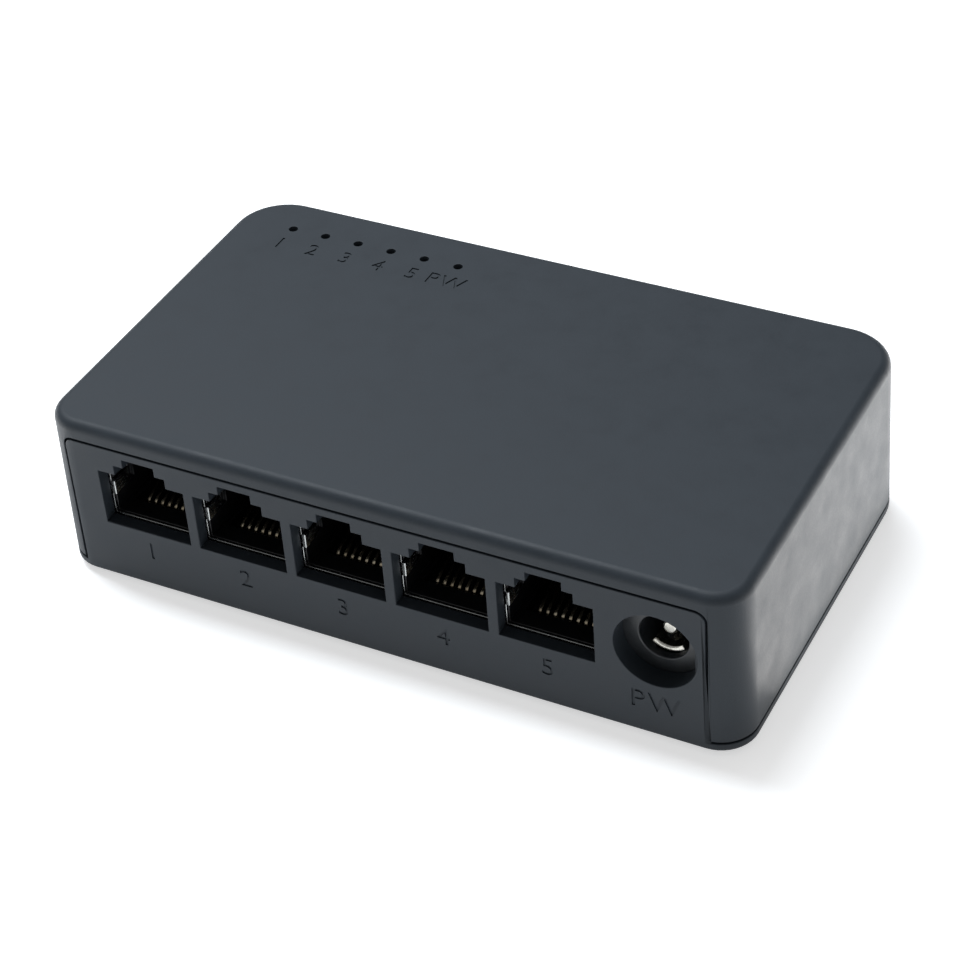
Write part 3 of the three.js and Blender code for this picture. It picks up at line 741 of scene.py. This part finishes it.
def openUnderside(base):
    screwLow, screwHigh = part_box("board_screw_right")
    screw = (screwLow + screwHigh) / 2
    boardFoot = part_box("circuit_board")[0].z
    collar, height = underside["collar"]
    collarZ = footZ + mm + height / 2 - mm / 2
    hole, holeDepth = underside["screwHole"]
    half = (underside["ventWidth"] / 2, underside["ventLength"] / 2)
    for side in (-1, 1):
        combine(base, addRound("collar", (side * bossX, bossY, collarZ), collar, height - mm), "UNION")
        postPlace = (side * screw.x, screw.y, (footZ + mm + boardFoot) / 2)
        combine(base, addRound("post", postPlace, underside["boardPost"], boardFoot - footZ - mm), "UNION")
        borePlace = (side * screw.x, screw.y, boardFoot)
        combine(base, addRound("bore", borePlace, bosses["bore"], underside["boardBore"], sides=32))
        combine(base, addRound("sink", (side * bossX, bossY, footZ), bosses["head"], underside["sink"]))
        combine(base, addRound("bore", (side * bossX, bossY, footZ), hole, holeDepth, sides=32))
        for k in range(underside["ventCount"]):
            step = k - (underside["ventCount"] - 1) / 2
            x = side * underside["ventGroup"] + step * underside["ventPitch"]
            high = (x + half[0], half[1], footZ + underside["ventDepth"])
            vent = addBox("vent", (x - half[0], -half[1], footZ - mm), high)
            roundEdges(vent, half[0] * 0.98, 6, isUpright)
            combine(base, vent)
    for name in footNames:
        low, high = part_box(name)
        middle = (low + high) / 2
        depth = 2 * underside["recessTop"]
        recess = addRound("recess", (middle.x, middle.y, footZ), underside["recess"], depth, sides=64)
        combine(base, recess)


footNames = ["foot_front_left", "foot_front_right", "foot_back_left", "foot_back_right"]
cover = buildCover()
base = buildBase()
legendsOnPanel(base)
openUnderside(base)
roundEdges(base, underside["edge"], 2, lambda edge: isSharp(edge) and isLevel(edge, footZ))
settle(cover, ["top_cover"], casePlastic)
cover.name = "coverShell"
settle(base, ["base_and_front_panel"], casePlastic)
print("case built:", len(cover.data.polygons), len(base.data.polygons), "faces")

# Pieces taken over from the CAD nodes, with their edges broken as a mould or press leaves them


def refined(node, name, edge, steps=2):
    piece = copyOf(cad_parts[node], name)
    piece.parent = None
    for key in list(piece.keys()):
        del piece[key]
    cleanUp(piece)
    choose(piece, "FACE", lambda face: True)
    bpy.ops.mesh.dissolve_limited(angle_limit=math.radians(0.5))
    leaveEdit()
    softEdges(piece, edge, steps)
    return piece


settle(refined("jack_housing", "jackHousing", 0.12 * mm), ["jack_housing"], blackPlastic)
earthTab = {
    "in": 0.4 * mm,
    "out": 0.62 * mm,
    "back": 1.1 * mm,
    "foot": 12.1 * mm,
    "height": 2.0 * mm,
    "turn": 0.15 * mm,
}


def addTabs(shield):  # the bent front of each spring finger, at the left edge of a mouth
    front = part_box("jack_shield")[0].y
    for x in portXs:
        edge = x - ports["width"] / 2
        low = (edge - earthTab["in"], front, footZ + earthTab["foot"])
        high = (edge + earthTab["out"], front + earthTab["back"], low[2] + earthTab["height"])
        tab = addBox("tab", low, high)
        roundEdges(
            tab, earthTab["turn"], 5,
            lambda part: all(vert.co.x > high[0] - 0.01 * mm for vert in part.verts)
            and isUpright(part),
        )
        combine(shield, tab, "UNION")
    return shield


shield = addTabs(refined("jack_shield", "jackShield", 0.06 * mm))
settle(shield, ["jack_shield"], platedShield)
laminate = boardLaminate()
settle(refined("circuit_board", "circuitBoard", 0.08 * mm), ["circuit_board"], laminate)
# how far the bright leads reach in; a known fault: on the switch chip they cover the whole body
chipLead = {"usual": 1.1 * mm, "switchChip": 20 * mm, "coil": -mm}
for node in ["switch_chip", "regulator_chip"] + [f"line_transformer_{k + 1}" for k in range(5)]:
    name = node.replace("_", " ").title().replace(" ", "")
    name = name[0].lower() + name[1:]
    lead = chipLead["switchChip" if node == "switch_chip" else "usual"]
    look = chipMoulding(name, *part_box(node), lead)
    settle(refined(node, name, 0.05 * mm), [node], look)
coilLook = chipMoulding("powerCoil", *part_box("power_coil"), chipLead["coil"])
settle(refined("power_coil", "powerCoil", 0.12 * mm), ["power_coil"], coilLook)
canLook = canAluminium()
for node in ["input_capacitor", "output_capacitor"]:
    name = node.split("_")[0] + "Capacitor"
    settle(refined(node, name, 0.08 * mm), [node], canLook)
settle(refined("crystal", "crystalCan", 0.1 * mm), ["crystal"], platedShield)
lensLook = lampLens()
for node in lampNames:
    parts = node.split("_")
    name = parts[0] + "Lamp" + (parts[2] if len(parts) > 2 else "")
    settle(refined(node, name, 0.04 * mm), [node], lensLook)
print("inner pieces finished")

# Jack contacts: eight gilt wires in a black carrier, the same in each jack

wire = {
    "count": 8,
    "pitch": 1.016 * mm,
    "width": 0.42 * mm,
    "thick": 0.34 * mm,
    "bend": 0.75 * mm,
    "slope": 0.35,
    "reach": 8.4 * mm,
    "soft": 0.07 * mm,
    "drop": 0.2 * mm,
    "pin": (1.5 * mm, 1.8 * mm),
    "pinBehind": 0.3 * mm,
    "start": 9 * mm,
}
carrierShape = {
    "depth": 0.75 * mm,
    "heel": 0.1 * mm,
    "comb": 3.1 * mm,
    "combFront": 1.6 * mm,
    "combFoot": 0.3 * mm,
    "combTop": 0.25 * mm,
    "slack": 0.12 * mm,
    "edge": 0.08 * mm,
}
insertLow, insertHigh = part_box("contact_insert_1")
bendY = insertLow.y + wire["bend"]
climb = wire["reach"] * math.sin(wire["slope"])
bendZ = insertHigh.z - climb - wire["thick"] - wire["bend"] - wire["drop"]
rearY = insertHigh.y


def addWire(x, k):
    foot = bendZ - wire["bend"]
    half = wire["width"] / 2
    piece = addBox("wire", (x - half, bendY, foot), (x + half, bendY + wire["start"], foot + wire["thick"]))
    choose(piece, "FACE", lambda face: face.normal.y < -0.9)
    bpy.ops.mesh.spin(steps=12, angle=math.pi - wire["slope"], center=(x, bendY, bendZ), axis=(1, 0, 0))
    rise = (0, wire["reach"] * math.cos(wire["slope"]), wire["reach"] * math.sin(wire["slope"]))
    bpy.ops.mesh.extrude_region_move(TRANSFORM_OT_translate={"value": rise})
    leaveEdit()
    cleanUp(piece)
    choose(piece, "FACE", lambda face: True)
    bpy.ops.mesh.normals_make_consistent(inside=False)
    leaveEdit()
    pinY = rearY + wire["pinBehind"] - wire["pin"][0] - (k % 2) * wire["pin"][1]
    pinTop = (x + half, pinY + half, foot + wire["thick"] / 2)
    combine(piece, addBox("pin", (x - half, pinY - half, insertLow.z), pinTop), "UNION")
    return piece


def addCarrier(x):
    half = (insertHigh.x - insertLow.x) / 2
    top = bendZ - wire["bend"] / 2
    foot = top - carrierShape["depth"]
    combY = rearY - carrierShape["comb"]
    piece = addBox("carrier", (x - half, bendY, foot), (x + half, rearY, top))
    heel = addBox("heel", (x - half, combY, foot + carrierShape["heel"]), (x + half, rearY, insertHigh.z))
    combine(piece, heel, "UNION")
    tooth = (wire["pitch"] - wire["width"]) / 2 - carrierShape["slack"]
    combTop = insertHigh.z - carrierShape["combTop"]
    for k in range(wire["count"] + 1):
        at = x + (k - wire["count"] / 2) * wire["pitch"]
        low = (at - tooth, combY - carrierShape["combFront"], top + carrierShape["combFoot"])
        combine(piece, addBox("comb", low, (at + tooth, combY + mm, combTop)), "UNION")
    return piece


firstWires = []
for k in range(wire["count"]):
    x = portXs[0] + (k - (wire["count"] - 1) / 2) * wire["pitch"]
    firstWires.append(addWire(x, k))
wireSet = joinAll("contactWires1", firstWires)
softEdges(wireSet, wire["soft"], 2, 40)
carrier = addCarrier(portXs[0])
softEdges(carrier, carrierShape["edge"])
wireSets = [wireSet] + [
    copyOf(wireSet, f"contactWires{k + 1}", (portXs[k] - portXs[0], 0, 0)) for k in range(1, 5)
]
carriers = [carrier] + [
    copyOf(carrier, f"contactCarrier{k + 1}", (portXs[k] - portXs[0], 0, 0)) for k in range(1, 5)
]
carrier.name = "contactCarrier1"
for k in range(5):
    settle(wireSets[k], [f"contact_insert_{k + 1}"], giltContact)
    settle(carriers[k], [f"contact_insert_{k + 1}"], blackPlastic)
print("contacts built")

# Power inlet: body with a round nose, centre pin and leaf spring

inletCut = {
    "noseRadius": 5.45 * mm,
    "nose": 1.3 * mm,
    "noseRound": 0.25 * mm,
    "sleeve": (2.5 * mm, 3.06 * mm),
    "sleeveTurn": 86,
    "sleeveFlare": 0.24 * mm,
    "sleeveReach": (1.25 * mm, 6.2 * mm),
    "flange": 2.6 * mm,
    "flangeRound": 0.35 * mm,
    "barrelInset": 0.4 * mm,
    "bore": 3.13 * mm,
    "boreDepth": 9.6 * mm,
    "boreEdge": 0.22 * mm,
    "pinRadius": 1.0 * mm,
    "pinTip": 0.4 * mm,
    "pinHole": (0.15 * mm, 12 * mm),
    "lug": 0.6 * mm,
    "slotSide": 0.3 * mm,
    "slotEnd": 0.6 * mm,
    "soft": 0.06 * mm,
    "leafHalf": 1.2 * mm,
    "leafThick": 0.3 * mm,
}


def buildInlet():
    face = inletLow.y
    back = inletHigh.y
    flangeY = face + inletCut["nose"]
    flangeHigh = (inletHigh.x, flangeY + inletCut["flange"], inletHigh.z)
    body = addBox("inletBody", (inletLow.x, flangeY, inletLow.z), flangeHigh)
    roundEdges(body, inletCut["flangeRound"], 3, lambda edge: True)
    radius = (inletHigh.x - inletLow.x) / 2 - inletCut["barrelInset"]
    middle = (inletX, (flangeY + mm + back) / 2, inletZ)
    combine(body, addRound("barrel", middle, radius, back - flangeY - mm, "Y", 64), "UNION")
    block = addBox(
        "block", (inletX - radius, flangeY + mm, inletLow.z), (inletX + radius, back - 0.01 * mm, inletZ)
    )
    combine(body, block, "UNION")
    nose = addRound("nose", (inletX, face + mm, inletZ), inletCut["noseRadius"], 2 * mm, "Y", 72)
    levelRoundFront(nose, face, inletCut["noseRound"], 5)
    combine(body, nose, "UNION")
    depth = inletCut["boreDepth"]
    borePlace = (inletX, face + depth / 2 - mm, inletZ)
    combine(body, addRound("bore", borePlace, inletCut["bore"], depth + 2 * mm, "Y", 72))
    roundEdges(body, inletCut["boreEdge"], 3, lambda edge: isSharp(edge) and isFront(edge, face))
    slot = inletCut["leafHalf"] + inletCut["slotSide"]
    slotHigh = (inletX + slot, face + depth - inletCut["slotEnd"], inletZ - mm)
    combine(body, addBox("slot", (inletX - slot, face + mm, inletLow.z - mm), slotHigh))
    gap, holeDepth = inletCut["pinHole"]
    holeRadius = inletCut["pinRadius"] + gap
    combine(body, addRound("pinHole", (inletX, back, inletZ), holeRadius, holeDepth, "Y", 32))
    return body


def isFront(edge, y):
    return all(abs(vert.co.y - y) < 0.01 * mm for vert in edge.verts)


def levelRoundFront(piece, y, size, steps):
    roundEdges(piece, size, steps, lambda edge: isFront(edge, y))


def buildPin():
    tip = pinLow.y
    back = inletHigh.y + mm
    middle = (inletX, (tip + back) / 2, inletZ)
    pin = addRound("inletPin", middle, inletCut["pinRadius"], back - tip, "Y", 48)
    levelRoundFront(pin, tip, inletCut["pinTip"], 6)
    lugHigh = (pinHigh.x, back - 0.005 * mm, pinHigh.z)
    combine(pin, addBox("lug", (pinLow.x, back - inletCut["lug"], pinLow.z), lugHigh), "UNION")
    softEdges(pin, inletCut["soft"])
    return pin


def buildLeaf():
    low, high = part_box("inlet_leaf_spring")
    front, back = low.y, high.y
    span, rise = back - front, mm
    radius = (span * span / 4 + rise * rise) / (2 * rise)
    half = math.asin(span / 2 / radius)
    centre = (inletX, (front + back) / 2, high.z - radius)
    bpy.ops.object.select_all(action="DESELECT")
    ring = radius - inletCut["leafThick"] / 2
    start = (inletX, centre[1] - ring * math.sin(half), centre[2] + ring * math.cos(half))
    bpy.ops.mesh.primitive_plane_add(size=1, location=start, rotation=(math.pi / 2 + half, 0, 0))
    bpy.context.object.scale = (2 * inletCut["leafHalf"], inletCut["leafThick"], 1)
    leaf = keepPlace("inletLeaf")
    choose(leaf, "FACE", lambda face: True)
    bpy.ops.mesh.spin(steps=18, angle=2 * half, center=centre, axis=(1, 0, 0))
    leaveEdit()
    cleanUp(leaf)
    choose(leaf, "FACE", lambda face: True)
    bpy.ops.mesh.normals_make_consistent(inside=False)
    leaveEdit()
    thick = inletCut["leafThick"]
    lug = addBox("lug", (low.x, back - thick, low.z), (high.x, back, high.z - rise))
    combine(leaf, lug, "UNION")
    leaf = joinAll("inletLeaf", [leaf, buildSleeve()])
    softEdges(leaf, inletCut["soft"])
    return leaf


def buildSleeve():  # shallow trough along the foot of the bore, spun about the bore's axis
    inner, outer = inletCut["sleeve"]
    half = math.radians(inletCut["sleeveTurn"] / 2)
    ring = (inner + outer) / 2
    near, far = [inletLow.y + reach for reach in inletCut["sleeveReach"]]
    bpy.ops.object.select_all(action="DESELECT")
    start = (inletX - ring * math.sin(half), (near + far) / 2, inletZ - ring * math.cos(half))
    axis = Vector((inletX, near, inletZ))
    bpy.ops.mesh.primitive_plane_add(size=1, location=start, rotation=(0, math.pi / 2 + half, 0))
    bpy.context.object.scale = (outer - inner, far - near, 1)
    sleeve = keepPlace("sleeve")
    choose(sleeve, "VERT", lambda vert: vert.co.y < near + 0.01 * mm and (vert.co - axis).length < ring)
    bpy.ops.transform.translate(value=(0, inletCut["sleeveFlare"], 0))
    leaveEdit()
    choose(sleeve, "FACE", lambda face: True)
    bpy.ops.mesh.spin(steps=20, angle=2 * half, center=(inletX, 0, inletZ), axis=(0, 1, 0))
    leaveEdit()
    cleanUp(sleeve)
    choose(sleeve, "FACE", lambda face: True)
    bpy.ops.mesh.normals_make_consistent(inside=False)
    leaveEdit()
    return sleeve


settle(buildInlet(), ["inlet_body"], inletPlastic)
settle(buildPin(), ["inlet_centre_pin"], platedContact)
settle(buildLeaf(), ["inlet_leaf_spring"], platedContact)
print("inlet built")

# Feet and screws

fastener = {
    "head": 2.4 * mm,
    "headHeight": 1.5 * mm,
    "headRound": 0.45 * mm,
    "shank": 1.1 * mm,
    "overlap": 0.1 * mm,
    "cross": (2.4 * mm, 0.55 * mm),
    "deep": 0.8 * mm,
    "soft": 0.05 * mm,
}
rubberFoot = {
    "round": 0.5 * mm,
    "rim": 0.5 * mm,
    "step": 0.25 * mm,
    "dish": 0.18 * mm,
    "leastFace": 20 * mm * mm,
}


def buildFoot(node, name):
    low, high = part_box(node)
    middle = (low + high) / 2
    radius = (high.x - low.x) / 2
    foot = addRound(name, middle, radius, high.z - low.z, sides=64)
    levelRound(foot, low.z, rubberFoot["round"], 5)
    choose(foot, "FACE", lambda face: face.normal.z < -0.99 and face.calc_area() > rubberFoot["leastFace"])
    bpy.ops.mesh.inset(thickness=rubberFoot["rim"])
    bpy.ops.mesh.inset(thickness=rubberFoot["step"])
    bpy.ops.transform.translate(value=(0, 0, rubberFoot["dish"]))
    leaveEdit()
    return foot


def buildScrew(node, name, headDown):
    low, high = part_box(node)
    middle = (low + high) / 2
    face, facing = (low.z, 1) if headDown else (high.z, -1)
    headMid = face + facing * fastener["headHeight"] / 2
    headPlace = (middle.x, middle.y, headMid)
    screw = addRound(name, headPlace, fastener["head"], fastener["headHeight"], sides=48)
    levelRound(screw, face, fastener["headRound"], 5)
    for breadth in (fastener["cross"], fastener["cross"][::-1]):
        half = (breadth[0] / 2, breadth[1] / 2)
        ends = sorted((face - facing * mm, face + facing * fastener["deep"]))
        slotLow = (middle.x - half[0], middle.y - half[1], ends[0])
        slotHigh = (middle.x + half[0], middle.y + half[1], ends[1])
        combine(screw, addBox("slot", slotLow, slotHigh))
    end = high.z if headDown else low.z
    start = face + facing * (fastener["headHeight"] - fastener["overlap"])
    shankPlace = (middle.x, middle.y, (start + end) / 2)
    shank = addRound("shank", shankPlace, fastener["shank"], abs(end - start), sides=32)
    combine(screw, shank, "UNION")
    softEdges(screw, fastener["soft"])
    return screw


rubber = footRubber()
for node in footNames:
    parts = node.split("_")
    name = "foot" + parts[1].title() + parts[2].title()
    settle(buildFoot(node, name), [node], rubber)
for kind, headDown in (("case", True), ("board", False)):
    for hand in ("left", "right"):
        node = f"{kind}_screw_{hand}"
        settle(buildScrew(node, f"{kind}Screw{hand.title()}", headDown), [node], screwSteel)
print("feet and screws built")

# Table, light and view

table = {"size": 6.0, "colour": linear(246, 246, 246), "shade": linear(241, 241, 241), "glow": 0.55}
lights = {
    "topLight": {
        "place": (-0.30, 0.20, 0.72), "turn": (-15, -22, 0), "size": (0.5, 0.4), "power": 5.2,
        "colour": (0.94, 1, 1.06),
    },
    "edgeLight": {
        "place": (-0.29, 0.06, 0.68), "turn": (-5, -23, 0), "size": (0.7, 0.09), "power": 1.5,
        "colour": (0.94, 1, 1.06),
    },
    "rightGlow": {
        "place": (0.224, 0.209, 0.001), "turn": (180, 0, 0), "size": (0.35, 0.45), "power": 1.55,
        "colour": (1, 0.975, 0.95),
    },
    "leftGlow": {
        "place": (-0.21, 0.05, 0.001), "turn": (180, 0, 0), "size": (0.28, 0.4), "power": 0.5,
        "colour": (1, 1, 1),
    },
}
sky = {"strength": 0.26, "colour": (1, 1, 1)}


def addTable():
    bpy.ops.object.select_all(action="DESELECT")
    bpy.ops.mesh.primitive_plane_add(size=table["size"], location=(0, 0, 0))
    floor = keepPlace("table")
    glow = {"Emission_Color": (1, 1, 1, 1), "Emission_Strength": table["glow"]}
    finish, spot, shader = startFinish("palePaper", **glow)
    fibre = spot.noise(900, 4.0, 0.6)
    feed(
        spot, shader,
        Base_Color=fibre.mixed(solidColour(table["colour"]), solidColour(table["shade"])),
        Roughness=fibre.stretch(0.3, 0.7, 0.6, 0.75),
    )
    floor.data.materials.append(finish)


def addLights():
    for name, light in lights.items():
        bpy.ops.object.light_add(type="AREA", location=light["place"])
        lamp = bpy.context.object
        lamp.name = name
        lamp.data.shape = "RECTANGLE"
        lamp.data.size, lamp.data.size_y = light["size"]
        lamp.data.energy = light["power"]
        lamp.data.color = light["colour"]
        lamp.rotation_euler = [math.radians(angle) for angle in light["turn"]]
    world = bpy.data.worlds.new("studio")
    world.use_nodes = True
    world.node_tree.nodes["Background"].inputs["Color"].default_value = solidColour(sky["colour"])
    world.node_tree.nodes["Background"].inputs["Strength"].default_value = sky["strength"]
    bpy.context.scene.world = world


addTable()
addLights()
bpy.context.scene.view_settings.view_transform = "Standard"
print("table and lights placed")
